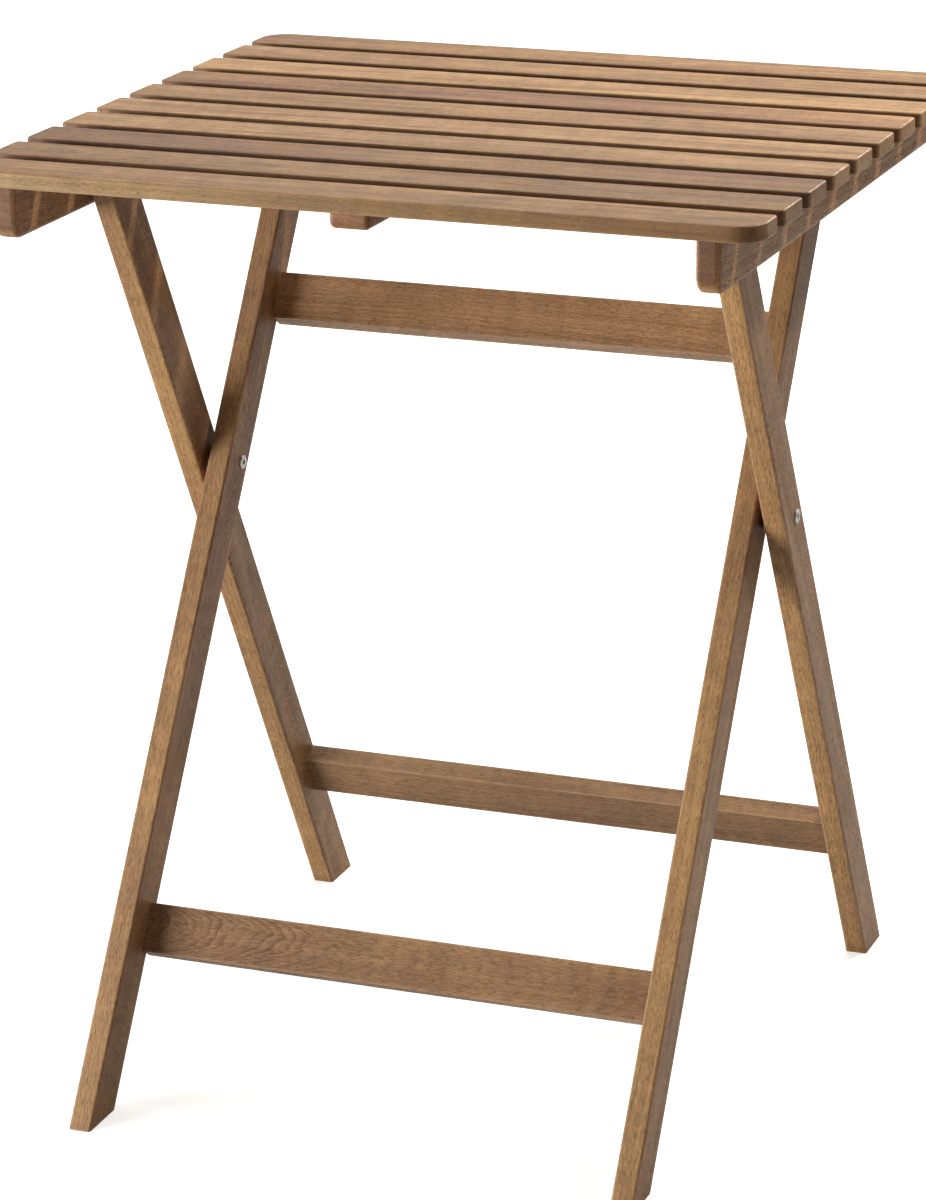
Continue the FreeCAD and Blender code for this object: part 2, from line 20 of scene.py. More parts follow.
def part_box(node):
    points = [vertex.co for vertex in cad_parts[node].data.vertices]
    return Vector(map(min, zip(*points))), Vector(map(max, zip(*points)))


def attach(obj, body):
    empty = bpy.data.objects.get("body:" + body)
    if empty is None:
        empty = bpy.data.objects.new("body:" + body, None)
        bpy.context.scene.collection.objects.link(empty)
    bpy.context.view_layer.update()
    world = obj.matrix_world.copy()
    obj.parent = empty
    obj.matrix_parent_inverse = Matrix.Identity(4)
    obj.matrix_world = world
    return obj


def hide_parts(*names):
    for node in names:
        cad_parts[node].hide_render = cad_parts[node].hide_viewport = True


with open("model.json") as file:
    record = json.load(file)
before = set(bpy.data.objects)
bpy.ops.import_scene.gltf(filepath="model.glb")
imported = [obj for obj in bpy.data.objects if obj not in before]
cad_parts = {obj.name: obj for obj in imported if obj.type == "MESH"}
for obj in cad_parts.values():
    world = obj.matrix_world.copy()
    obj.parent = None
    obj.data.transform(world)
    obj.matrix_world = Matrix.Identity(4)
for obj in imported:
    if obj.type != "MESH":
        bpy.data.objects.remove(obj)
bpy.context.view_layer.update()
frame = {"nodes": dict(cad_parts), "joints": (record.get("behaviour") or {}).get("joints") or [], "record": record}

MM = 0.001
BODIES = frame["record"]["behaviour"]["bodies"]
BODY_OF = {node: body for body, nodes in BODIES.items() for node in nodes}
JOINTS = {joint["name"]: Vector(joint["pos_m"]) for joint in frame["joints"]}

# %% [markdown]
# ## Helpers for shader nodes
# A finish is easier to read as a sum than as a long list of nodes and links. Each
# helper adds one node to a tree and gives back its output, and takes plain values or
# other outputs. Colours are written as a paint chart gives them and turned to linear.

# %% Node helpers
def paint(red, green, blue):
    """A colour from 0 to 255, as the linear values that shaders use."""
    channels = [c / 255 for c in (red, green, blue)]
    linear = [c / 12.92 if c < 0.04 else ((c + 0.055) / 1.055) ** 2.4 for c in channels]
    return (*linear, 1.0)


def feed(tree, socket, value):
    if isinstance(value, bpy.types.NodeSocket):
        tree.links.new(value, socket)
    else:
        socket.default_value = value


def maths(tree, operation, *values, clamp=False):
    node = tree.nodes.new("ShaderNodeMath")
    node.operation = operation
    node.use_clamp = clamp
    for socket, value in zip(node.inputs, values):
        feed(tree, socket, value)
    return node.outputs[0]


def vectors(tree, operation, *values):
    node = tree.nodes.new("ShaderNodeVectorMath")
    node.operation = operation
    for socket, value in zip(node.inputs, values):
        feed(tree, socket, value)
    return node.outputs[1 if operation in ("LENGTH", "DOT_PRODUCT") else 0]


def split(tree, vector):
    node = tree.nodes.new("ShaderNodeSeparateXYZ")
    feed(tree, node.inputs[0], vector)
    return node.outputs


def grain_noise(tree, place, stretch, detail=1.0, roughness=0.5):
    """Noise whose cells are 1/stretch metres long in each direction."""
    node = tree.nodes.new("ShaderNodeTexNoise")
    feed(tree, node.inputs["Vector"], vectors(tree, "MULTIPLY", place, stretch))
    node.inputs["Scale"].default_value = 1.0
    node.inputs["Detail"].default_value = detail
    node.inputs["Roughness"].default_value = roughness
    return node.outputs[0]


def between(tree, value, low, high, smooth=True):
    """0 below low, 1 above high."""
    node = tree.nodes.new("ShaderNodeMapRange")
    node.interpolation_type = "SMOOTHSTEP" if smooth else "LINEAR"
    feed(tree, node.inputs["Value"], value)
    feed(tree, node.inputs["From Min"], low)
    feed(tree, node.inputs["From Max"], high)
    return node.outputs[0]


def colours(tree, amount, first, second, how="MIX"):
    node = tree.nodes.new("ShaderNodeMix")
    node.data_type = "RGBA"
    node.blend_type = how
    feed(tree, node.inputs[0], amount)
    feed(tree, node.inputs[6], first)
    feed(tree, node.inputs[7], second)
    return node.outputs[2]


SOCKET_KINDS = {float: "NodeSocketFloat", tuple: "NodeSocketVector", list: "NodeSocketColor"}


def new_group(name, inputs, outputs):
    """A shader node group. An input's starting value says its kind: a list is a colour."""
    tree = bpy.data.node_groups.new(name, "ShaderNodeTree")
    for label, value in inputs.items():
        socket = tree.interface.new_socket(
            label, in_out="INPUT", socket_type=SOCKET_KINDS[type(value)])
        socket.default_value = value
    for label, kind in outputs.items():
        tree.interface.new_socket(label, in_out="OUTPUT", socket_type=SOCKET_KINDS[kind])
    given = tree.nodes.new("NodeGroupInput").outputs
    result = tree.nodes.new("NodeGroupOutput").inputs
    return tree, given, result


def use_group(tree, group, **values):
    """Places a group; a socket called "Ring Width" is given as Ring_Width."""
    node = tree.nodes.new("ShaderNodeGroup")
    node.node_tree = group
    for label, value in values.items():
        feed(tree, node.inputs[label.replace("_", " ")], value)
    return node.outputs


# %% [markdown]
# ## The figure of the timber
# A board is cut from a trunk, so its lines are slices through rings round the pith.
# A picture of wood would show the same lines on every face. Here the ring number is
# the distance from a pith line that passes beside the board and runs out of true with
# it, so wide faces get long pointed arches, edges get straight lines and ends get arcs.
# Fibres and pores are noise that is stretched along X: pores are short dark dashes on
# the faces and dots on the ends.

# %% Group: timber figure
def build_timber_figure():
    tree, given, result = new_group(
        "timber_figure",
        {"Position": (0.0, 0.0, 0.0), "Offcut": (0.0, 0.0, 0.0), "Pith": (0.0, 0.0, -0.07),
         "Run Out": (0.0, 0.0, 0.03), "Ring Width": 0.004, "Fineness": 0.6},
        {"Rings": float, "Fibre": float, "Pores": float, "Drift": float, "Ripple": float,
         "Cloud": float})
    place = vectors(tree, "ADD", given["Position"], given["Offcut"])
    along = split(tree, given["Position"])[0]
    shifted = vectors(tree, "SUBTRACT", given["Position"], given["Pith"])
    lean = tree.nodes.new("ShaderNodeVectorMath")
    lean.operation = "SCALE"
    feed(tree, lean.inputs[0], given["Run Out"])
    feed(tree, lean.inputs["Scale"], along)
    aside = vectors(tree, "SUBTRACT", shifted, lean.outputs[0])
    radius = vectors(tree, "LENGTH", vectors(tree, "MULTIPLY", aside, (0.0, 1.0, 1.0)))
    sway = maths(tree, "SUBTRACT", grain_noise(tree, place, (2.6, 16.0, 16.0), 1.0), 0.5)
    shiver = maths(tree, "SUBTRACT", grain_noise(tree, place, (22.0, 95.0, 95.0), 1.0), 0.5)
    radius = maths(tree, "MULTIPLY_ADD", sway, 0.022, radius)
    radius = maths(tree, "MULTIPLY_ADD", shiver, 0.0024, radius)
    count = maths(tree, "DIVIDE", radius, given["Ring Width"])
    through = maths(tree, "FRACT", count)
    rise = maths(tree, "POWER", through, 2.2)
    fall = maths(tree, "SUBTRACT", 1.0, between(tree, through, 0.86, 1.0))
    year = tree.nodes.new("ShaderNodeTexWhiteNoise")
    year.noise_dimensions = "1D"
    feed(tree, year.inputs["W"], maths(tree, "FLOOR", count))
    strength = maths(tree, "MULTIPLY_ADD", year.outputs["Value"], 0.75, 0.25)
    rings = maths(tree, "MULTIPLY", maths(tree, "MULTIPLY", rise, fall), strength)
    feed(tree, result["Rings"], rings)
    broad = grain_noise(tree, place, (5.0, 230.0, 230.0), 2.0, 0.6)
    thin = grain_noise(tree, place, (120.0, 900.0, 900.0), 1.0, 0.6)
    finer = maths(tree, "SUBTRACT", thin, broad)
    mixed = maths(tree, "MULTIPLY_ADD", finer, given["Fineness"], broad)
    feed(tree, result["Fibre"], between(tree, mixed, 0.37, 0.63, smooth=False))
    pores = grain_noise(tree, place, (260.0, 2000.0, 2000.0), 0.0)
    clusters = grain_noise(tree, place, (9.0, 60.0, 60.0), 1.0)
    early = maths(tree, "SUBTRACT", 1.0, maths(tree, "PINGPONG", count, 1.0))
    gate = maths(tree, "MULTIPLY_ADD", clusters, -0.16, 0.59)
    gate = maths(tree, "MULTIPLY_ADD", early, 0.12, gate)
    pores = between(tree, pores, gate, maths(tree, "ADD", gate, 0.1))
    feed(tree, result["Pores"], pores)
    drift = grain_noise(tree, place, (2.2, 34.0, 34.0), 2.0)
    feed(tree, result["Drift"], between(tree, drift, 0.3, 0.7))
    cloud = grain_noise(tree, vectors(tree, "ADD", place, (3.1, 7.7, 5.3)),
                        (3.4, 14.0, 14.0), 2.0, 0.6)
    feed(tree, result["Cloud"], between(tree, cloud, 0.36, 0.66))
    ripple = grain_noise(tree, place, (70.0, 22.0, 22.0), 1.0)
    feed(tree, result["Ripple"], between(tree, ripple, 0.3, 0.7))
    return tree


timber_figure = build_timber_figure()
print("group:", timber_figure.name)

# %% [markdown]
# ## Worn edges and painted edge highlights
# Stain rubs off first where hands and cloths catch an edge, and it lies thin on an
# eased corner. The paler edges made here also stand in for the highlights that rounded
# edges catch, so they are partly a painted highlight. A worn edge could be found from the
# bend of the mesh, but that changes with the mesh. In board coordinates it is simpler: a
# point is on an edge where it is near the limit of two of the board's three directions
# at once.

# %% Group: edge wear and painted edge highlight
def build_edge_wear_and_highlight():
    tree, given, result = new_group(
        "edge_wear_and_highlight",
        {"Position": (0.0, 0.0, 0.0), "Offcut": (0.0, 0.0, 0.0),
         "Half Size": (0.3, 0.02, 0.006), "Reach": 0.003},
        {"Wear": float})
    inside = vectors(tree, "SUBTRACT", given["Half Size"],
                     vectors(tree, "ABSOLUTE", given["Position"]))
    x, y, z = split(tree, inside)
    nearest = maths(tree, "MINIMUM", x, maths(tree, "MINIMUM", y, z))
    total = maths(tree, "ADD", x, maths(tree, "ADD", y, z))
    farthest = maths(tree, "MAXIMUM", x, maths(tree, "MAXIMUM", y, z))
    second = maths(tree, "SUBTRACT", total, maths(tree, "ADD", nearest, farthest))
    place = vectors(tree, "ADD", given["Position"], given["Offcut"])
    patchy = grain_noise(tree, place, (30.0, 120.0, 120.0), 3.0, 0.6)
    reach = maths(tree, "MULTIPLY", given["Reach"],
                  maths(tree, "MULTIPLY_ADD", patchy, 1.8, 0.1))
    wear_and_highlight = maths(tree, "SUBTRACT", 1.0, maths(tree, "DIVIDE", second, reach), clamp=True)
    feed(tree, result["Wear"], wear_and_highlight)
    return tree


edge_wear_and_highlight = build_edge_wear_and_highlight()
print("group:", edge_wear_and_highlight.name)

# %% [markdown]
# ## Stain over the figure
# The stain is brown and thin. It sinks into pores and end grain, where it turns dark,
# and some boards carry a purple-brown streak of heartwood. A board's narrow sides can
# have a colour of their own over the same grain: a painted shade in the slat gaps, and a
# gold with painted light on the front slat and the legs. Rubbed edges are painted paler,
# partly real wear and partly a painted edge highlight. This group lays those colours over
# the figure. It also gives the roughness and the height of the surface,
# because a wiped oil leaves the pores open, and a rubbed edge is smoother and shines.

# %% Group: stained surface
SIDE_EARLYWOOD = (1.15, 1.15, 1.15, 1.0)
SIDE_LATEWOOD = (0.6, 0.6, 0.6, 1.0)


def build_stained_surface():
    tree, given, result = new_group(
        "stained_surface",
        {"Rings": 0.0, "Fibre": 0.5, "Pores": 0.0, "Drift": 0.5, "Ripple": 0.5,
         "Cloud": 0.5, "Wear": 0.0, "End": 0.0, "Side": 0.0, "Fade": 0.0, "Figure": 0.4,
         "Light": [0.4, 0.25, 0.14, 1.0], "Dark": [0.2, 0.11, 0.05, 1.0],
         "Heart": [0.2, 0.1, 0.07, 1.0], "Heartwood": 0.0,
         "Side Stain": [0.09, 0.04, 0.015, 1.0], "Pore Depth": 0.45},
        {"Color": list, "Roughness": float, "Height": float})
    depth = maths(tree, "MULTIPLY", given["Rings"], given["Figure"])
    depth = maths(tree, "MULTIPLY_ADD", given["Fibre"], 0.44, depth)
    depth = maths(tree, "MULTIPLY_ADD", given["Drift"], 0.36, depth)
    depth = maths(tree, "ADD", depth, given["Fade"])
    depth = maths(tree, "SUBTRACT", depth, 0.12, clamp=True)
    light_side = colours(tree, 1.0, given["Side Stain"], SIDE_EARLYWOOD, how="MULTIPLY")
    dark_side = colours(tree, 1.0, given["Side Stain"], SIDE_LATEWOOD, how="MULTIPLY")
    light = colours(tree, given["Side"], given["Light"], light_side)
    dark = colours(tree, given["Side"], given["Dark"], dark_side)
    colour = colours(tree, depth, light, dark)
    heart = maths(tree, "MULTIPLY", given["Cloud"], given["Heartwood"])
    colour = colours(tree, heart, colour, given["Heart"])
    sheen = maths(tree, "MULTIPLY_ADD", given["Ripple"], 0.16, 0.92)
    gray = tree.nodes.new("ShaderNodeCombineXYZ")
    for socket in gray.inputs:
        feed(tree, socket, sheen)
    colour = colours(tree, 1.0, colour, gray.outputs[0], how="MULTIPLY")
    # Rubbed edges are painted paler: partly real wear, partly a painted edge highlight.
    colour = colours(tree, maths(tree, "MULTIPLY", given["Wear"], 0.38), colour,
                     paint(206, 170, 128))
    pores = maths(tree, "MULTIPLY", given["Pores"], given["Pore Depth"])
    colour = colours(tree, pores, colour, paint(74, 46, 28))
    colour = colours(tree, given["End"], colour, paint(82, 52, 32))
    feed(tree, result["Color"], colour)
    rough = maths(tree, "MULTIPLY_ADD", given["Fibre"], 0.10, 0.40)
    rough = maths(tree, "MULTIPLY_ADD", given["Pores"], 0.25, rough)
    rough = maths(tree, "MULTIPLY_ADD", given["End"], 0.16, rough)
    rough = maths(tree, "MULTIPLY_ADD", given["Wear"], -0.2, rough)
    feed(tree, result["Roughness"], rough)
    height = maths(tree, "MULTIPLY", given["Fibre"], 0.55)
    height = maths(tree, "MULTIPLY_ADD", given["Rings"], 0.35, height)
    height = maths(tree, "MULTIPLY_ADD", given["Pores"], -1.0, height)
    feed(tree, result["Height"], height)
    return tree


stained_surface = build_stained_surface()
print("group:", stained_surface.name)

# %% [markdown]
# ## One finish for each board
# No two boards of a batch match. Each gets its own offcut of the noise, its own pith
# and run-out, and a stain a little lighter, darker or redder, all drawn from a seeded
# random source so that the table is the same each time. The texture reads the board's
# object coordinates, which are its own X, Y and Z in metres. Where a board shows pointed
# arches, the pith line is near and steep there, and the rings fade out along the board.

# %% Stained acacia
def new_finish(name):
    """A material, its node tree and its Principled shader."""
    material = bpy.data.materials.new(name)
    material.use_nodes = True
    return material, material.node_tree, material.node_tree.nodes["Principled BSDF"]


def raise_surface(tree, shader, height, strength, distance):
    """Lets a height from 0 to 1 shape the light on the surface."""
    bump = tree.nodes.new("ShaderNodeBump")
    bump.inputs["Strength"].default_value = strength
    bump.inputs["Distance"].default_value = distance
    feed(tree, bump.inputs["Height"], height)
    feed(tree, shader.inputs["Normal"], bump.outputs[0])


LIGHT_STAIN = paint(189, 147, 102)
DARK_STAIN = paint(106, 72, 43)
HEART_STAIN = paint(112, 76, 64)
# Dark brown laid on the slats' sides in the gaps: a painted shade for the gaps between slats.
PAINTED_GAP_SHADE = paint(84, 54, 33)
FLAT_SAWN = "flat"
QUARTER_SAWN = "quarter"
GRAIN_DEPTH = 0.25 * MM
OIL_SHINE = 0.36
WEAR_AND_HIGHLIGHT_REACH = 1.6 * MM
ARCH_PITH = 16 * MM
ARCH_SLOPE = 0.16
ARCH_RING_WIDTH = 1.1 * MM
ARCH_REACH = 130 * MM


def shade(colour, factor, warmth=0.0):
    """A colour made lighter or darker, and warmer or cooler."""
    red, green, blue, alpha = colour
    return (red * factor * (1 + warmth), green * factor, blue * factor * (1 - warmth), alpha)


def stained_acacia(name, half_size, seed, sawn=FLAT_SAWN, tone=1.0, warmth=0.0,
                   heartwood=0.3, run_out=0.03, figure_depth=0.4, sides=0.0, fade=0.0,
                   ends=0.4, side_tint_and_shading=PAINTED_GAP_SHADE, far_end_tint_and_shading=PAINTED_GAP_SHADE,
                   arches=None, fineness=0.65, pore_depth=0.45):
    """The stained wood for one board, with its half length, half width and half depth."""
    draw = random.Random(seed)
    material, tree, shader = new_finish(name)
    given = tree.nodes.new("ShaderNodeTexCoord").outputs
    offcut = tuple(draw.uniform(2, 9) for _ in range(3))
    away = draw.uniform(0.045, 0.09)
    hand = draw.choice((-1, 1))
    beside = draw.uniform(-0.012, 0.012)
    pith = (0.0, beside, hand * away) if sawn == FLAT_SAWN else (0.0, hand * away, beside)
    slope = draw.uniform(0.6, 1.3) * run_out * draw.choice((-1, 1))
    out = (0.0, 0.2 * slope, slope) if sawn == FLAT_SAWN else (0.0, slope, 0.2 * slope)
    ring_width = draw.uniform(0.0028, 0.0045)
    if arches is not None:
        pith = (0.0, 0.002, ARCH_SLOPE * arches - ARCH_PITH)
        out = (0.0, 0.0, -ARCH_SLOPE)
        ring_width = ARCH_RING_WIDTH
        away_from_arches = maths(tree, "ABSOLUTE", maths(
            tree, "SUBTRACT", split(tree, given["Object"])[0], arches))
        fading = between(tree, away_from_arches, ARCH_REACH, 0.3 * ARCH_REACH)
        figure_depth = maths(tree, "MULTIPLY", fading, figure_depth)
    figure = use_group(tree, timber_figure, Position=given["Object"], Offcut=offcut,
                       Pith=pith, Run_Out=out, Ring_Width=ring_width, Fineness=fineness)
    worn_and_lit_edges = use_group(tree, edge_wear_and_highlight, Position=given["Object"], Offcut=offcut,
                     Half_Size=tuple(half_size), Reach=WEAR_AND_HIGHLIGHT_REACH)
    tone *= draw.uniform(0.96, 1.04)
    along, aside, _ = split(tree, given["Normal"])
    # Side faces, found by the normal's local Y, take the side colour: a painted shade in the slat gaps, and gold
    # with painted light on the front slat and the legs.
    side = maths(tree, "MULTIPLY", between(tree, maths(tree, "ABSOLUTE", aside), 0.5, 0.95),
                 sides)
    end = maths(tree, "MULTIPLY", between(tree, maths(tree, "ABSOLUTE", along), 0.75, 0.97),
                ends)
    lengthwise = split(tree, given["Object"])[0]
    far = maths(tree, "MULTIPLY", lengthwise, fade / half_size[0])
    # share runs from 0 at a board's -X end to 1 at its +X end; on the front slat it carries the painted fall of
    # light along its outer side.
    share = maths(tree, "MULTIPLY_ADD", lengthwise, 0.5 / half_size[0], 0.5)
    surface = use_group(
        tree, stained_surface, Rings=figure["Rings"], Fibre=figure["Fibre"],
        Pores=figure["Pores"], Drift=figure["Drift"], Ripple=figure["Ripple"],
        Cloud=figure["Cloud"],
        Wear=worn_and_lit_edges["Wear"], End=end, Side=side, Fade=far, Figure=figure_depth,
        Light=shade(LIGHT_STAIN, tone, warmth),
        Dark=shade(DARK_STAIN, tone, warmth), Heart=HEART_STAIN, Heartwood=heartwood,
        Side_Stain=colours(tree, share, side_tint_and_shading, far_end_tint_and_shading), Pore_Depth=pore_depth)
    feed(tree, shader.inputs["Base Color"], surface["Color"])
    feed(tree, shader.inputs["Roughness"], surface["Roughness"])
    raise_surface(tree, shader, surface["Height"], 0.45, GRAIN_DEPTH)
    shader.inputs["Specular IOR Level"].default_value = OIL_SHINE
    return material


# %% [markdown]
# ## How a board is made
# A plain box would look like plastic, whatever its finish. A real board has eased
# edges, corners that the sander rounded, faces that are not quite flat and small dents
# along its edges. So a board starts as a flat outline with round corners, is given
# its thickness, and has its long edges rounded. Then it is cut into short stations, so
# that a soft noise can move its surface by about a tenth of a millimetre.

# %% Outlines and boards
def rounded(corners, radii, steps=6):
    """The outline through the corners, each turned into an arc of its own radius."""
    points = []
    for k, (corner, radius) in enumerate(zip(corners, radii)):
        here = Vector(corner)
        if radius == 0:
            points.append(here)
            continue
        back = (Vector(corners[k - 1]) - here).normalized()
        onward = (Vector(corners[(k + 1) % len(corners)]) - here).normalized()
        half_angle = back.angle(onward) / 2
        centre = here + (back + onward).normalized() * (radius / math.sin(half_angle))
        start = here + back * (radius / math.tan(half_angle)) - centre
        turn = start.angle_signed(here + onward * (radius / math.tan(half_angle)) - centre)
        for step in range(steps + 1):
            spin = Matrix.Rotation(-turn * step / steps, 2)
            points.append(centre + spin @ start)
    apart = [p for k, p in enumerate(points) if (p - points[k - 1]).length > 1e-6]
    return apart


def prism(outline, thickness):
    """A bmesh of the outline, given its thickness about Z = 0."""
    bm = bmesh.new()
    low = [bm.verts.new((p.x, p.y, -thickness / 2)) for p in outline]
    high = [bm.verts.new((p.x, p.y, thickness / 2)) for p in outline]
    bm.faces.new(list(reversed(low)))
    bm.faces.new(high)
    for k in range(len(outline)):
        bm.faces.new((low[k - 1], low[k], high[k], high[k - 1]))
    bmesh.ops.recalc_face_normals(bm, faces=bm.faces)
    return bm


def ease(bm, height, radius, skip=None, segments=4):
    """Rounds the rim of the face at this height; skip(edge) leaves an edge sharp."""
    rim = [e for e in bm.edges if all(abs(v.co.z - height) < 1e-7 for v in e.verts)]
    rim = [e for e in rim if not (skip and skip(e))]
    bmesh.ops.bevel(bm, geom=rim, offset=radius, offset_type="OFFSET", segments=segments,
                    profile=0.5, affect="EDGES", clamp_overlap=False)


def slice_up(bm, axis, step):
    """Cuts the mesh at even steps along an axis, for the noise to move."""
    low = min(v.co[axis] for v in bm.verts)
    high = max(v.co[axis] for v in bm.verts)
    count = max(2, round((high - low) / step))
    normal = Vector((0, 0, 0))
    normal[axis] = 1
    for k in range(1, count):
        place = normal * (low + (high - low) * k / count)
        geometry = bm.verts[:] + bm.edges[:] + bm.faces[:]
        bmesh.ops.bisect_plane(bm, geom=geometry, dist=1e-6, plane_co=place, plane_no=normal)


WORLD_AXES = ((1, 0, 0), (0, 1, 0), (0, 0, 1))
STATION = 14 * MM
LENGTHWISE_LINE = 9 * MM
UNEVEN = 0.10 * MM
DENT = 0.4 * MM


def weather(bm, seed):
    """Moves the surface by a soft noise, and dents the long edges a little."""
    offset = Vector((seed * 1.7, seed * 0.9, seed * 2.3))
    low = Vector([min(v.co[axis] for v in bm.verts) for axis in range(3)])
    high = Vector([max(v.co[axis] for v in bm.verts) for axis in range(3)])
    bm.normal_update()
    moves = {}
    for v in bm.verts:
        soft = pattern.noise(Vector((v.co.x * 9, v.co.y * 40, v.co.z * 40)) + offset)
        gaps = sorted(min(v.co[axis] - low[axis], high[axis] - v.co[axis]) for axis in (1, 2))
        on_edge = max(0.0, 1 - gaps[1] / (3 * MM))
        knock = pattern.noise(Vector((v.co.x * 55, v.co.y * 30, v.co.z * 30)) - offset)
        moves[v] = v.normal * (soft * UNEVEN - on_edge * max(0.0, knock - 0.3) * DENT)
    for v, move in moves.items():
        v.co += move


def smooth(mesh, angle=35):
    mesh.polygons.foreach_set("use_smooth", [True] * len(mesh.polygons))
    mesh.set_sharp_from_angle(angle=math.radians(angle))


def even_normals(piece):
    """Keeps wide faces looking flat beside their rounded edges."""
    weighting = piece.modifiers.new("even_normals", "WEIGHTED_NORMAL")
    weighting.keep_sharp = True


def add_object(name, bm, axes, origin):
    """An object from a bmesh, with its X, Y and Z laid along the given directions."""
    mesh = bpy.data.meshes.new(name)
    bm.to_mesh(mesh)
    bm.free()
    piece = bpy.data.objects.new(name, mesh)
    bpy.context.scene.collection.objects.link(piece)
    turn = Matrix([Vector(axis) for axis in axes]).transposed().to_4x4()
    piece.matrix_world = Matrix.Translation(origin) @ turn
    return piece


def stand_for(piece, *nodes, material=None):
    """Puts a piece in the place of its CAD nodes: it rides on their body, hides them and takes the finish."""
    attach(piece, BODY_OF[nodes[0]])
    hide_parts(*nodes)
    if material:
        piece.data.materials.clear()
        piece.data.materials.append(material)
    return piece


def board(name, outline, thickness, axes, origin, easing, under_easing=None, seed=0,
          skip=None):
    """A finished board: outline in its own X and Y, thickness along its own Z."""
    half_size = Vector((
        (max(p.x for p in outline) - min(p.x for p in outline)) / 2,
        (max(p.y for p in outline) - min(p.y for p in outline)) / 2, thickness / 2))
    bm = prism(outline, thickness)
    ease(bm, thickness / 2, easing, skip)
    ease(bm, -thickness / 2, under_easing or easing, skip)
    slice_up(bm, 0, STATION)
    slice_up(bm, 1, LENGTHWISE_LINE)
    weather(bm, seed)
    piece = add_object(name, bm, axes, origin)
    smooth(piece.data)
    even_normals(piece)
    return piece, half_size


# %% [markdown]
# ## Holes
# The side battens are screwed from below, with each screw head sunk deep in the wood.
# A painted dark spot would vanish in a low light, so the holes are cut. All the
# cutters of one board are joined in one mesh, and one exact boolean takes them out.

# %% Drilling and turning
def cylinder(bm, start, end, radius, segments=40):
    axis = end - start
    turn = axis.to_track_quat("Z", "Y").to_matrix().to_4x4()
    bmesh.ops.create_cone(
        bm, cap_ends=True, segments=segments, radius1=radius, radius2=radius,
        depth=axis.length, matrix=Matrix.Translation((start + end) / 2) @ turn)


def bake_modifiers(piece):
    """Replaces an object's mesh by the mesh that its modifiers make."""
    shown = piece.evaluated_get(bpy.context.evaluated_depsgraph_get())
    made = bpy.data.meshes.new_from_object(shown)
    piece.modifiers.clear()
    piece.data = made


def cut_away(piece, cutter_bm):
    """Takes a mesh, given in the table's frame, out of a piece."""
    cutter = add_object(piece.name + "_cutter", cutter_bm, WORLD_AXES, Vector())
    piece.modifiers.clear()
    cut = piece.modifiers.new("cut", "BOOLEAN")
    cut.operation = "DIFFERENCE"
    cut.solver = "EXACT"
    cut.object = cutter
    bpy.context.view_layer.update()
    bake_modifiers(piece)
    bpy.data.objects.remove(cutter)
    smooth(piece.data)
    even_normals(piece)


def drill(piece, holes):
    """Bores round holes, each (start, end, radius) in the table's frame."""
    cutters = bmesh.new()
    for start, end, radius in holes:
        cylinder(cutters, start, end, radius)
    cut_away(piece, cutters)


def turned(profile, segments=48):
    """A bmesh of a turned piece: (radius, height) points spun about Z."""
    bm = bmesh.new()
    rings = []
    for radius, height in profile:
        if radius == 0:
            rings.append([bm.verts.new((0, 0, height))] * segments)
            continue
        rings.append([])
        for k in range(segments):
            turn = math.tau * k / segments
            place = (radius * math.cos(turn), radius * math.sin(turn), height)
            rings[-1].append(bm.verts.new(place))
    for low, high in zip(rings, rings[1:]):
        for k in range(segments):
            corners = []
            for v in (low[k - 1], low[k], high[k], high[k - 1]):
                if v not in corners:
                    corners.append(v)
            if len(corners) > 2:
                bm.faces.new(corners)
    bmesh.ops.recalc_face_normals(bm, faces=bm.faces)
    return bm


def separate_solids(node):
    """The boxes of a CAD node's separate solids, in order along Y."""
    bm = bmesh.new()
    bm.from_mesh(frame["nodes"][node].data)
    bmesh.ops.remove_doubles(bm, verts=bm.verts, dist=1e-6)
    boxes, seen = [], set()
    for seed in bm.verts:
        if seed in seen:
            continue
        island, edge_of = [], [seed]
        seen.add(seed)
        while edge_of:
            v = edge_of.pop()
            island.append(v.co.copy())
            for edge in v.link_edges:
                other = edge.other_vert(v)
                if other not in seen:
                    seen.add(other)
                    edge_of.append(other)
        low = Vector([min(p[k] for p in island) for k in range(3)])
        high = Vector([max(p[k] for p in island) for k in range(3)])
        boxes.append((low, high))
    bm.free()
    return sorted(boxes, key=lambda box: (box[0] + box[1]).y)


HEAD_ROOM = 0.3 * MM
HEAD_SEAT = 1.2 * MM
PAST_THE_FACE = 2 * MM


def screw_hole(screw_low, screw_high, bottom):
    """The hole for one upright screw's head, from below the wood's bottom face."""
    middle = (screw_low + screw_high) / 2
    start = Vector((middle.x, middle.y, bottom - PAST_THE_FACE))
    end = Vector((middle.x, middle.y, screw_low.z + HEAD_SEAT))
    return start, end, (screw_high.x - screw_low.x) / 2 + HEAD_ROOM
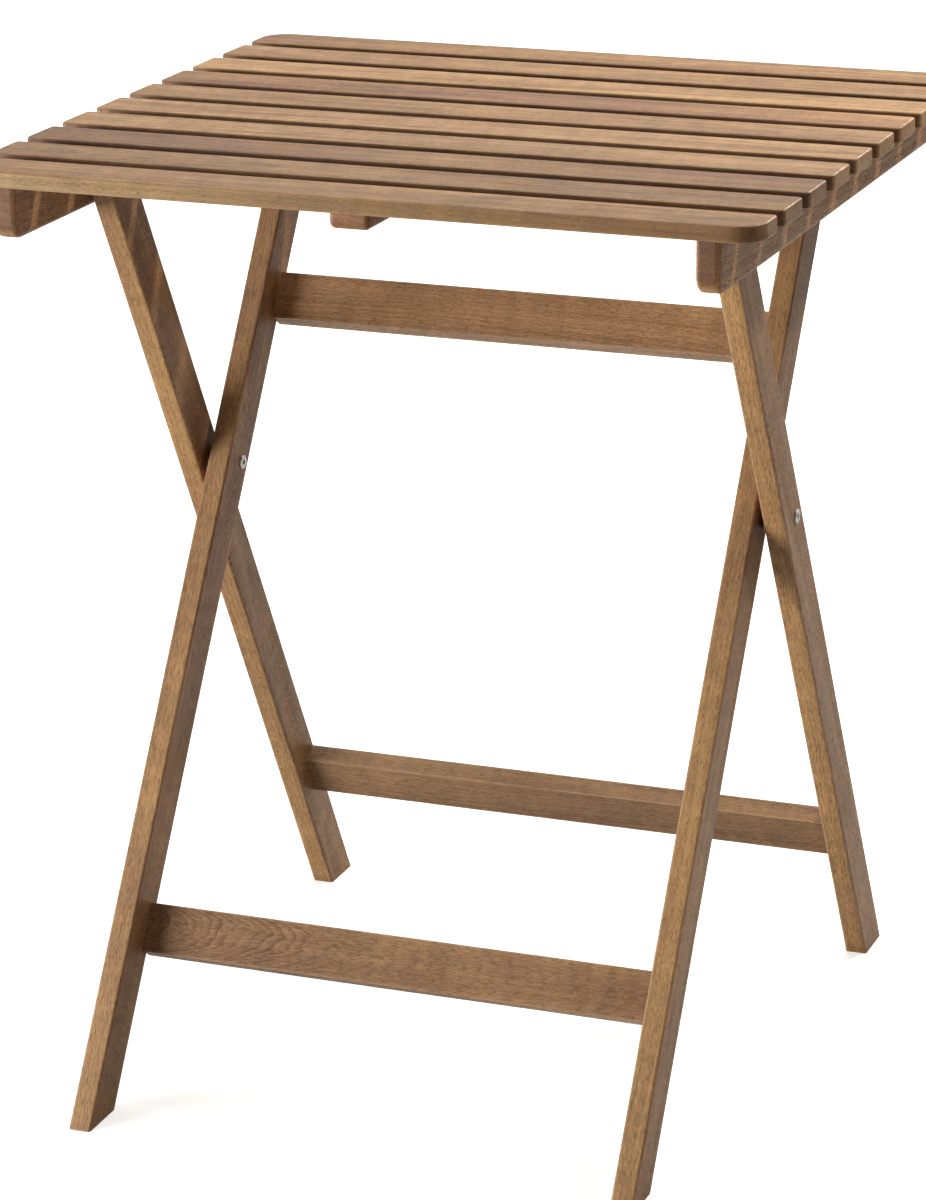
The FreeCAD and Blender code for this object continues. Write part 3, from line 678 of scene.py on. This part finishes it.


# %% [markdown]
# ## The slats
# The ten slats make the top. Their upper edges are rounded by almost two millimetres,
# so that water runs off and arms rest well, and the first and last slats carry the
# top's four large corners. The slats are flat sawn, and one near the back has a streak
# of heartwood. Their sides in the gaps are painted a darker brown, a painted shade for
# the gaps, while the front slat's outer side is painted gold, paler at its left end and
# deeper at its right: wood colour with a painted fall of light to the right.

# %% Slats
SLAT_EASING = 1.8 * MM
SLAT_UNDER_EASING = 1.2 * MM
SLAT_CORNER = 4.0 * MM
TOP_CORNER = 22.0 * MM
SLAT_TONES = (0.86, 0.78, 0.74, 0.96, 1.18, 0.99, 0.98, 1.16, 1.06, 0.90)
SLAT_WARMTH = (0.02, 0.0, 0.02, -0.03, -0.04, -0.02, 0.05, -0.03, -0.02, 0.03)
HEARTWOOD_SLATS = {1: 0.3, 3: 0.45, 7: 0.7, 10: 0.4}
# The slats' sides in the gaps take this much of a darker colour, a painted shade.
GAP_SHADE_AMOUNT = 0.65
# The front slat's outer side is gold, paler at its left end and deeper at its right: wood colour with a painted
# fall of light to the right.
GOLD_WITH_PAINTED_LIGHT = paint(170, 140, 80)
GOLD_WITH_PAINTED_SHADE = paint(116, 76, 18)
FRONT_GOLD_AND_LIGHT = 0.6
SLAT_FINENESS = 0.3
SLAT_PORE_DEPTH = 0.2
slats = sorted(n for n in BODY_OF if n.startswith("slat_"))
for number, node in enumerate(slats, start=1):
    low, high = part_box(node)
    centre, half = (low + high) / 2, (high - low) / 2
    front = TOP_CORNER if number == 1 else SLAT_CORNER
    back = TOP_CORNER if number == len(slats) else SLAT_CORNER
    corners = [(-half.x, -half.y), (half.x, -half.y), (half.x, half.y), (-half.x, half.y)]
    outline = rounded(corners, (front, front, back, back), steps=10)
    piece, half_size = board("top_" + node, outline, 2 * half.z, WORLD_AXES, centre,
                             SLAT_EASING, SLAT_UNDER_EASING, seed=number)
    is_front = number == 1
    finish = stained_acacia(
        "acacia_" + node, half_size, 40 + number, tone=SLAT_TONES[number - 1],
        warmth=SLAT_WARMTH[number - 1], heartwood=HEARTWOOD_SLATS.get(number, 0.2),
        sides=FRONT_GOLD_AND_LIGHT if is_front else GAP_SHADE_AMOUNT,
        side_tint_and_shading=GOLD_WITH_PAINTED_LIGHT if is_front else PAINTED_GAP_SHADE,
        far_end_tint_and_shading=GOLD_WITH_PAINTED_SHADE if is_front else PAINTED_GAP_SHADE,
        ends=0.1, fineness=SLAT_FINENESS, pore_depth=SLAT_PORE_DEPTH)
    stand_for(piece, node, material=finish)
print("slats:", len(slats))

# %% [markdown]
# ## The battens
# Two deep battens stand on edge near the slats' ends and carry them, and a flat one in
# the middle keeps them in line. Their lower ends are rounded. A batten is drawn in
# side view, with its grain along Y, and its screw holes come up from below.

# %% Battens
BATTEN_EASING = 4.0 * MM
SIDE_END_RADIUS = 13.0 * MM
MIDDLE_END_RADIUS = 5.0 * MM
ALONG_Y_AXES = ((0, 1, 0), (0, 0, 1), (1, 0, 0))


def batten(node, screws_node, end_radius, seed, tone, warmth, ends):
    low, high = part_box(node)
    centre, half = (low + high) / 2, (high - low) / 2
    corners = [(-half.y, -half.z), (half.y, -half.z), (half.y, half.z), (-half.y, half.z)]
    outline = rounded(corners, (end_radius, end_radius, 0, 0), steps=8)

    def under_the_slats(edge):
        return all(v.co.y > half.z - 1e-6 for v in edge.verts)

    piece, half_size = board("plain_" + node, outline, 2 * half.x, ALONG_Y_AXES, centre,
                             BATTEN_EASING, seed=seed, skip=under_the_slats)
    holes = [screw_hole(*box, low.z) for box in separate_solids(screws_node)]
    drill(piece, holes)
    finish = stained_acacia("acacia_" + node, half_size, seed, tone=tone, warmth=warmth,
                            sawn=QUARTER_SAWN, heartwood=0.35, ends=ends)
    stand_for(piece, node, material=finish)
    return len(holes)


BATTENS = {
    "left_side_batten": ("left_batten_screws", SIDE_END_RADIUS, 71, 0.97, 0.06, 0.7),
    "right_side_batten": ("right_batten_screws", SIDE_END_RADIUS, 72, 1.15, 0.12, 0.8),
    "middle_batten": ("middle_batten_screws", MIDDLE_END_RADIUS, 73, 0.74, 0.2, 0.3),
}
drilled = sum(batten(node, *choices) for node, choices in BATTENS.items())
print("battens:", len(BATTENS), "with", drilled, "screw holes")

# %% [markdown]
# ## The legs
# A leg leans, has a half-round top end about its upper pivot, and is cut level at the
# ground. The imported model gives only its upright box, so the lean is worked out: the
# edge of the leg touches the half-round end and ends at the box's far corner. With
# h the pivot's height, y the way from the pivot to that corner and w half the width,
# y cos(t) - h sin(t) = w. The grain runs up the leg. The narrow faces, which look to the
# front and back, are painted a paler gold, partly wood colour and partly painted light,
# and the wide faces are painted darker and redder, a painted shade.

# %% Legs
LEG_EASING = 2.0 * MM
# Legs' narrow faces are painted gold, partly wood colour and partly painted light; their wide faces are painted
# darker and redder, a painted shade.
LEG_GOLD_AND_LIGHT = paint(184, 146, 94)
NARROW_FACE_GOLD_AND_LIGHT = 0.4
WIDE_FACE_SHADE_TONE = 0.84
WIDE_FACE_WARMTH = 0.06
rest_bar_low, rest_bar_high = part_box("rest_bar")
TOP_PIVOT = {"outer": JOINTS["top_tilt"], "inner": (rest_bar_low + rest_bar_high) / 2}


def lean_of(node, pivot):
    """The leg's direction up its length, and its half width."""
    low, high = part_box(node)
    half_width = high.z - pivot.z
    reach = max(high.y - pivot.y, pivot.y - low.y)
    far_side = 1 if high.y - pivot.y > pivot.y - low.y else -1
    span = math.hypot(reach, pivot.z)
    lean = math.acos(half_width / span) - math.atan2(pivot.z, reach)
    return Vector((0, -far_side * math.sin(lean), math.cos(lean))), half_width


def leg(node, frame_name, seed, tone, fade, heartwood):
    low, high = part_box(node)
    pivot = TOP_PIVOT[frame_name].copy()
    pivot.x = (low.x + high.x) / 2
    up, half_width = lean_of(node, pivot)
    across = Vector((1, 0, 0)).cross(up)
    foot = [-(pivot.z + side * half_width * across.z) / up.z for side in (-1, 1)]
    corners = [(foot[0], -half_width), (half_width, -half_width),
               (half_width, half_width), (foot[1], half_width)]
    outline = rounded(corners, (0, half_width, half_width, 0), steps=12)
    ground = min(foot) - 1e-6

    def at_the_ground(edge):
        return all(v.co.x < max(foot) + 1e-6 for v in edge.verts)

    piece, half_size = board("shaped_" + node, outline, high.x - low.x,
                             (up, across, (1, 0, 0)), pivot, LEG_EASING, seed=seed,
                             skip=at_the_ground)
    half_size.x = -ground
    # Wide faces darker and redder as a painted shade; narrow faces gold with painted light.
    finish = stained_acacia("acacia_" + node, half_size, seed, tone=tone * WIDE_FACE_SHADE_TONE,
                            warmth=WIDE_FACE_WARMTH, fade=fade, heartwood=heartwood,
                            run_out=0.02, sides=NARROW_FACE_GOLD_AND_LIGHT,
                            side_tint_and_shading=shade(LEG_GOLD_AND_LIGHT, tone),
                            far_end_tint_and_shading=shade(LEG_GOLD_AND_LIGHT, tone))
    stand_for(piece, node, material=finish)
    return up


LEGS = {
    "left_outer_leg": ("outer", 81, 1.06, 0.0, 0.5),
    "right_outer_leg": ("outer", 82, 1.15, 0.0, 0.2),
    "left_inner_leg": ("inner", 83, 0.92, 0.25, 0.5),
    "right_inner_leg": ("inner", 84, 0.93, 0.1, 0.3),
}
UP_LEG = {}
for node, choices in LEGS.items():
    UP_LEG[choices[0]] = leg(node, *choices)
for frame_name, up in UP_LEG.items():
    print(frame_name, "legs lean", round(math.degrees(math.atan2(up.y, up.z)), 1), "degrees")

# %% [markdown]
# ## The rails
# Three rails tie the legs in pairs. Each lies square to its legs, so its upright box
# is that of a turned rectangle with eased corners. Two equations, one for the box's
# depth and one for its height, give the rail's width and thickness back. The front
# rail is flat sawn and has pointed arches near its left end.

# %% Rails
RAIL_EASING = 2.0 * MM


def rail(node, frame_name, seed, tone, sawn, run_out, figure_depth, arches=None):
    low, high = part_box(node)
    up = UP_LEG[frame_name]
    across = Vector((1, 0, 0)).cross(up)
    lean_cos, lean_sin = abs(up.z), abs(up.y)
    depth = high.y - low.y - 2 * RAIL_EASING
    height = high.z - low.z - 2 * RAIL_EASING
    bottom = lean_cos ** 2 - lean_sin ** 2
    width = (height * lean_cos - depth * lean_sin) / bottom + 2 * RAIL_EASING
    thickness = (depth * lean_cos - height * lean_sin) / bottom + 2 * RAIL_EASING
    half_length = (high.x - low.x) / 2
    corners = [(-half_length, -width / 2), (half_length, -width / 2),
               (half_length, width / 2), (-half_length, width / 2)]
    outline = [Vector(corner) for corner in corners]

    def against_a_leg(edge):
        return all(abs(v.co.x) > half_length - 1e-6 for v in edge.verts)

    piece, half_size = board("plain_" + node, outline, thickness,
                             ((1, 0, 0), up, across), (low + high) / 2, RAIL_EASING,
                             seed=seed, skip=against_a_leg)
    half_size.x *= 2
    finish = stained_acacia("acacia_" + node, half_size, seed, sawn=sawn, tone=tone,
                            run_out=run_out, figure_depth=figure_depth, arches=arches)
    stand_for(piece, node, material=finish)
    return width, thickness


RAILS = {
    "rear_rail": ("outer", 91, 0.72, QUARTER_SAWN, 0.02, 0.4),
    "upper_rail": ("inner", 92, 1.08, QUARTER_SAWN, 0.02, 0.4),
    "front_rail": ("inner", 93, 0.94, FLAT_SAWN, 0.1, 1.0, -0.15),
}
for node, choices in RAILS.items():
    width, thickness = rail(node, *choices)
    print(node, "is", round(width / MM, 1), "by", round(thickness / MM, 1), "mm")

# %% [markdown]
# ## The rest bar and its blocks
# Out of sight, a round bar joins the tops of the inner legs, and two blocks under the
# slats seat on it. The bar is a turned rod. A block is drawn in side view with its
# seat, whose round follows the bar with a little room, and a mouth to the front.

# %% Rest bar and rest blocks
BLOCK_EASING = 1.0 * MM
SEAT_ROOM = 0.4 * MM
LIP_RISE = 6.0 * MM
MOUTH_ANGLE = math.radians(25)
BLOCK_CHAMFER = 4.0 * MM
bar_centre = TOP_PIVOT["inner"]
bar_radius = (rest_bar_high.z - rest_bar_low.z) / 2


def round_bar():
    half = (rest_bar_high.x - rest_bar_low.x) / 2
    rim = 1.0 * MM
    stations = 40
    profile = [(0, -half), (bar_radius - rim, -half), (bar_radius, -half + rim)]
    for k in range(1, stations):
        profile.append((bar_radius, -half + 2 * half * k / stations))
    profile += [(bar_radius, half - rim), (bar_radius - rim, half), (0, half)]
    bm = turned(profile, 40)
    bmesh.ops.rotate(bm, verts=bm.verts, cent=(0, 0, 0), matrix=Matrix.Rotation(math.pi / 2, 3, "Y"))
    piece = add_object("round_rest_bar", bm, WORLD_AXES, bar_centre)
    smooth(piece.data)
    finish = stained_acacia("acacia_rest_bar", (half * 2, 1, 1), 95, tone=0.95)
    stand_for(piece, "rest_bar", material=finish)


def rest_block(node, seed):
    low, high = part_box(node)
    front, back = low.y - bar_centre.y, high.y - bar_centre.y
    top, bottom = high.z - bar_centre.z, low.z - bar_centre.z
    radius = bar_radius + SEAT_ROOM
    first = math.pi - math.asin(LIP_RISE / radius)
    last = -MOUTH_ANGLE
    arc = []
    for k in range(17):
        turn = first + (last - first) * k / 16
        arc.append((radius * math.cos(turn), radius * math.sin(turn)))
    mouth = arc[-1][0] - (arc[-1][1] - bottom) * math.tan(MOUTH_ANGLE)
    corners = [(front, LIP_RISE), *arc, (mouth, bottom), (back - BLOCK_CHAMFER, bottom),
               (back, bottom + BLOCK_CHAMFER), (back, top), (front, top)]
    outline = [Vector(corner) for corner in corners]
    bm = prism(outline, high.x - low.x)
    for side in (-1, 1):
        ease(bm, side * (high.x - low.x) / 2, BLOCK_EASING,
             skip=lambda e: all(v.co.y > top - 1e-6 for v in e.verts), segments=2)
    origin = Vector(((low.x + high.x) / 2, bar_centre.y, bar_centre.z))
    piece = add_object("shaped_" + node, bm, ALONG_Y_AXES, origin)
    own_screws = [box for box in separate_solids("rest_block_screws")
                  if low.x < box[0].x and box[1].x < high.x]
    drill(piece, [screw_hole(*box, low.z) for box in own_screws])
    half_size = Vector((back - front, 1, (high.x - low.x) / 2))
    finish = stained_acacia("acacia_" + node, half_size, seed, tone=0.95)
    stand_for(piece, node, material=finish)


round_bar()
rest_block("left_rest_block", 96)
rest_block("right_rest_block", 97)
print("rest bar:", round(2 * bar_radius / MM, 1), "mm across")

# %% [markdown]
# ## Metal
# The pivot heads are the only bright points on the table. Bright zinc is smooth with
# fine turning marks and a little dirt, so its roughness varies with a stretched noise
# and its colour darkens in patches. Nothing here is a mirror, or it would go black.

# %% Steel, nylon and dowel finishes
def scuffed_steel(name, bright, dull, rough):
    material, tree, shader = new_finish(name)
    place = tree.nodes.new("ShaderNodeTexCoord").outputs["Object"]
    marks = grain_noise(tree, place, (300.0, 5000.0, 5000.0), 2.0, 0.6)
    patches = between(tree, grain_noise(tree, place, (420.0, 420.0, 420.0), 3.0), 0.4, 0.7)
    feed(tree, shader.inputs["Base Color"], colours(tree, patches, bright, dull))
    feed(tree, shader.inputs["Roughness"], maths(tree, "MULTIPLY_ADD", marks, 0.25, rough))
    raise_surface(tree, shader, marks, 0.2, 0.02 * MM)
    shader.inputs["Metallic"].default_value = 1.0
    return material


def moulded_nylon(name):
    material, tree, shader = new_finish(name)
    place = tree.nodes.new("ShaderNodeTexCoord").outputs["Object"]
    spark = grain_noise(tree, place, (1800.0, 1800.0, 1800.0), 2.0)
    feed(tree, shader.inputs["Base Color"],
         colours(tree, spark, paint(28, 26, 24), paint(46, 42, 39)))
    feed(tree, shader.inputs["Roughness"], maths(tree, "MULTIPLY_ADD", spark, 0.3, 0.4))
    return material


PIVOT_STEEL = scuffed_steel("bright_pivot_steel", paint(206, 206, 204), paint(150, 148, 144), 0.3)
SCREW_STEEL = scuffed_steel("zinc_screw_steel", paint(206, 204, 196), paint(140, 136, 128), 0.3)
NYLON = moulded_nylon("black_nylon")


def dress(node, material):
    """A CAD node keeps its shape and gets a better finish."""
    shape = frame["nodes"][node]
    shape.data.materials.clear()
    shape.data.materials.append(material)


for node in BODY_OF:
    if node.endswith("_spacer"):
        dress(node, NYLON)
BEECH = stained_acacia("plain_beech", (1, 1, 1), 99, tone=1.9, warmth=-0.02)
for node in BODY_OF:
    if node.endswith("_dowels"):
        dress(node, BEECH)

# %% [markdown]
# ## Screws and pivots
# A key recess with a sharp rim, a low dome and a ring of light round it say "screw"
# even from across a room, so the heads are modelled. A turned profile makes the dome,
# the shank and the thread. The thread is drawn as plain rings, because it is inside the
# wood. A six-sided cutter makes the recess.

# %% Fasteners
RECESS_RADIUS = 2.2 * MM
RECESS_DEPTH = 1.5 * MM
DOME_SHARE = 0.6
DOME_STEPS = 6


def thread(radius, start, end, pitch, depth):
    """Profile points of a thread drawn as rings, from start to end."""
    points = []
    count = max(1, int((end - start) / pitch))
    for k in range(count):
        points.append((radius - depth, start + k * pitch))
        points.append((radius, start + (k + 0.5) * pitch))
    return points


def dome(radius, height):
    """Profile points of a low domed head, from its outer face to its rim."""
    rise = DOME_SHARE * height
    points = [(0, 0)]
    for k in range(DOME_STEPS + 1):
        turn = math.pi / 2 * k / DOME_STEPS
        points.append((radius - rise * (1 - math.sin(turn)), rise * (1 - math.cos(turn))))
    return points


def fastener(name, profile, origin, direction):
    """A turned fastener with a key recess. Its head starts at the origin."""
    bm = turned(profile)
    direction = Vector(direction)
    side = direction.orthogonal().normalized()
    piece = add_object(name, bm, (side, direction.cross(side), direction), origin)
    recess = bmesh.new()
    cylinder(recess, origin - direction * MM, origin + direction * RECESS_DEPTH,
             RECESS_RADIUS, segments=6)
    cut_away(piece, recess)
    smooth(piece.data, 30)
    return piece


def join_all(name, parts):
    """One object from several, for a node that holds a set of equal fasteners."""
    bm = bmesh.new()
    for part in parts:
        mesh = part.data.copy()
        mesh.transform(part.matrix_world)
        bm.from_mesh(mesh)
        bpy.data.meshes.remove(mesh)
    for part in parts:
        bpy.data.objects.remove(part)
    piece = add_object(name, bm, WORLD_AXES, Vector())
    smooth(piece.data, 30)
    return piece


def wood_screw(name, low, high):
    """A countersunk wood screw that fills this box, head down."""
    radius, length = (high.x - low.x) / 2, high.z - low.z
    shank = 1.7 * MM
    profile = [(0, 0), (radius - 0.2 * MM, 0), (radius, 0.5 * MM), (shank, 2.6 * MM)]
    profile += [(shank, length * 0.35)]
    profile += thread(shank, length * 0.35, length - 4 * MM, 1.6 * MM, 0.45 * MM)
    profile += [(shank * 0.7, length - 3.6 * MM), (0, length)]
    middle = (low + high) / 2
    return fastener(name, profile, Vector((middle.x, middle.y, low.z)), (0, 0, 1))


screw_count = 0
for node in ("left_batten_screws", "right_batten_screws", "middle_batten_screws",
             "rest_block_screws"):
    made = []
    for k, (low, high) in enumerate(separate_solids(node)):
        made.append(wood_screw(f"{node}_{k}", low, high))
    screw_count += len(made)
    stand_for(join_all("turned_" + node, made), node, material=SCREW_STEEL)
print("wood screws:", screw_count)

# %% [markdown]
# ## Pivots
# At each leg pivot a sleeve with a head on the inner face turns in both legs, and a bolt
# with a head on the outer face closes it. A shoulder screw holds the top to each outer
# leg. They are turned like the screws, but lie along X, and each fills its packed box.

# %% Pivots
SLEEVE_HEAD = 1.4 * MM
BOLT_HEAD = 1.4 * MM
SLEEVE_BARREL = 4.0 * MM
BOLT_SHANK = 2.5 * MM
HINGE_HEAD = 2.6 * MM
HINGE_SHOULDER = 4.0 * MM
HINGE_THREAD = 3.0 * MM
HINGE_THREAD_LENGTH = 13.0 * MM


def sideways(node, head_outward, body):
    """A fastener along X whose head faces outward (1) or inward (-1) on its side."""
    low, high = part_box(node)
    side = 1 if low.x > 0 else -1
    facing = side * head_outward
    middle = (low + high) / 2
    middle.x = high.x if facing > 0 else low.x
    radius, length = (high.z - low.z) / 2, high.x - low.x
    piece = fastener("turned_" + node, body(radius, length), middle, (-facing, 0, 0))
    return stand_for(piece, node, material=PIVOT_STEEL)


def sleeve(radius, length):
    return dome(radius, SLEEVE_HEAD) + [
        (radius, SLEEVE_HEAD), (SLEEVE_BARREL, SLEEVE_HEAD), (SLEEVE_BARREL, length), (0, length)]


def bolt(radius, length):
    ridges = thread(BOLT_SHANK, BOLT_HEAD + 2 * MM, length - MM, 1.0 * MM, 0.3 * MM)
    return dome(radius, BOLT_HEAD) + [
        (radius, BOLT_HEAD), (BOLT_SHANK, BOLT_HEAD), *ridges,
        (BOLT_SHANK * 0.8, length), (0, length)]


def shoulder_screw(radius, length):
    shoulder_end = length - HINGE_THREAD_LENGTH
    ridges = thread(HINGE_THREAD, shoulder_end + 1 * MM, length - MM, 1.4 * MM, 0.4 * MM)
    return dome(radius, HINGE_HEAD) + [
        (radius, HINGE_HEAD), (HINGE_SHOULDER, HINGE_HEAD), (HINGE_SHOULDER, shoulder_end),
        (HINGE_THREAD, shoulder_end), *ridges, (HINGE_THREAD * 0.7, length), (0, length)]


for side in ("left", "right"):
    sideways(side + "_leg_pivot_sleeve", -1, sleeve)
    sideways(side + "_leg_pivot_bolt", 1, bolt)
    sideways(side + "_top_hinge_screw", -1, shoulder_screw)
print("pivots: 3 fasteners on each side")

# %% [markdown]
# ## Floor and light
# The table stands on a pale floor in soft studio light. A wide, low panel in front and
# to the left shapes the legs: their fronts are bright and their right sides dark. It is
# lower than the top, so that it doesn't shine into the gaps between the slats. A panel
# overhead, a little behind, lights the slats, and one behind the table leaves a soft
# sheen on them. A small strip beside that one draws thin bright lines on the slats' ends.
# A lamp high on the right shines through the gaps, as pale streaks on the batten.
# The floor bounces less light than it shows, or it would wash out the dark sides.

# %% Floor, light and room
def build_floor():
    bm = bmesh.new()
    bmesh.ops.create_grid(bm, x_segments=1, y_segments=1, size=40)
    floor = add_object("studio_floor", bm, WORLD_AXES, Vector((0, 0, 0)))
    material, tree, shader = new_finish("pale_floor")
    light_path = tree.nodes.new("ShaderNodeLightPath")
    seen = paint(240, 240, 240)
    bounced = (0.4, 0.39, 0.38, 1.0)
    feed(tree, shader.inputs["Base Color"],
         colours(tree, light_path.outputs["Is Diffuse Ray"], seen, bounced))
    place = tree.nodes.new("ShaderNodeTexCoord").outputs["Object"]
    away = between(tree, vectors(tree, "LENGTH", place), 0.8, 4.0)
    glow = colours(tree, away, (0.6, 0.6, 0.6, 1.0), (1.0, 1.0, 1.0, 1.0))
    feed(tree, shader.inputs["Emission Color"],
         colours(tree, light_path.outputs["Is Camera Ray"], (0.0, 0.0, 0.0, 1.0), glow))
    shader.inputs["Emission Strength"].default_value = 1.0
    shader.inputs["Roughness"].default_value = 0.9
    shader.inputs["Specular IOR Level"].default_value = 0.1
    floor.data.materials.append(material)


def panel(name, place, aim, width, height, power, colour=(1, 1, 1)):
    """A soft light that faces its aim."""
    lamp = bpy.data.lights.new(name, "AREA")
    lamp.shape = "RECTANGLE"
    lamp.size = width
    lamp.size_y = height
    lamp.energy = power
    lamp.color = colour
    light = bpy.data.objects.new(name, lamp)
    bpy.context.scene.collection.objects.link(light)
    light.location = place
    light.rotation_euler = (Vector(aim) - Vector(place)).to_track_quat("-Z", "Y").to_euler()


def build_room():
    world = bpy.data.worlds.new("studio_room")
    world.use_nodes = True
    tree = world.node_tree
    seen = tree.nodes.new("ShaderNodeLightPath").outputs["Is Camera Ray"]
    feed(tree, tree.nodes["Background"].inputs["Color"],
         colours(tree, seen, ROOM_LIGHT, (1.0, 1.0, 1.0, 1.0)))
    bpy.context.scene.world = world


WARM_WHITE = (1.0, 0.96, 0.88)
ROOM_LIGHT = (0.165, 0.155, 0.145, 1.0)
build_floor()
build_room()
panel("front_panel", (-2.7, -2.5, 0.62), (0, 0, 0.4), 2.4, 1.2, 168)
panel("overhead_panel", (-0.3, 1.2, 2.9), (0, 0, 0.7), 2.4, 2.0, 46, WARM_WHITE)
panel("back_panel", (-1.2, 4.2, 1.7), (0, 0, 0.7), 4.0, 2.2, 18, WARM_WHITE)
panel("glint_strip", (0.95, 4.2, 2.7), (0.3, 0, 0.7), 0.6, 0.4, 60, WARM_WHITE)
panel("gap_lamp", (1.15, 0.55, 2.35), (0.3, 0, 0.7), 0.14, 0.14, 25, WARM_WHITE)

# %% [markdown]
# ## Camera
# A long lens from the front right, a little above the top, keeps the uprights nearly
# parallel. The small shift only sets the framing.

# %% Camera
CAMERA_PLACE = Vector((1.1089, -2.9596, 1.3506))
CAMERA_AZIMUTH = math.radians(20.96)
CAMERA_ELEVATION = math.radians(-16.60)
CAMERA_ROLL = math.radians(-0.447)
forward = Vector((-math.sin(CAMERA_AZIMUTH) * math.cos(CAMERA_ELEVATION),
                  math.cos(CAMERA_AZIMUTH) * math.cos(CAMERA_ELEVATION),
                  math.sin(CAMERA_ELEVATION)))
level = Vector((math.cos(CAMERA_AZIMUTH), math.sin(CAMERA_AZIMUTH), 0))
upright = level.cross(forward)
right = level * math.cos(CAMERA_ROLL) + upright * math.sin(CAMERA_ROLL)
above = upright * math.cos(CAMERA_ROLL) - level * math.sin(CAMERA_ROLL)
camera_data = bpy.data.cameras.new("camera")
camera_data.lens = 129.07
camera_data.shift_x = 0.0072
camera_data.shift_y = -0.0620
camera = bpy.data.objects.new("camera", camera_data)
bpy.context.scene.collection.objects.link(camera)
axes = Matrix((right, above, -forward)).transposed().to_4x4()
camera.matrix_world = Matrix.Translation(CAMERA_PLACE) @ axes
bpy.context.scene.camera = camera
bpy.context.scene.view_settings.view_transform = "Standard"
print("camera:", round(camera_data.lens, 1), "mm lens")

# %% [markdown]
# ## Bring the scene up to date
# The visual model has to fill the same box as the imported one. This cell only brings the scene up to date.

# %% Scene update
bpy.context.view_layer.update()
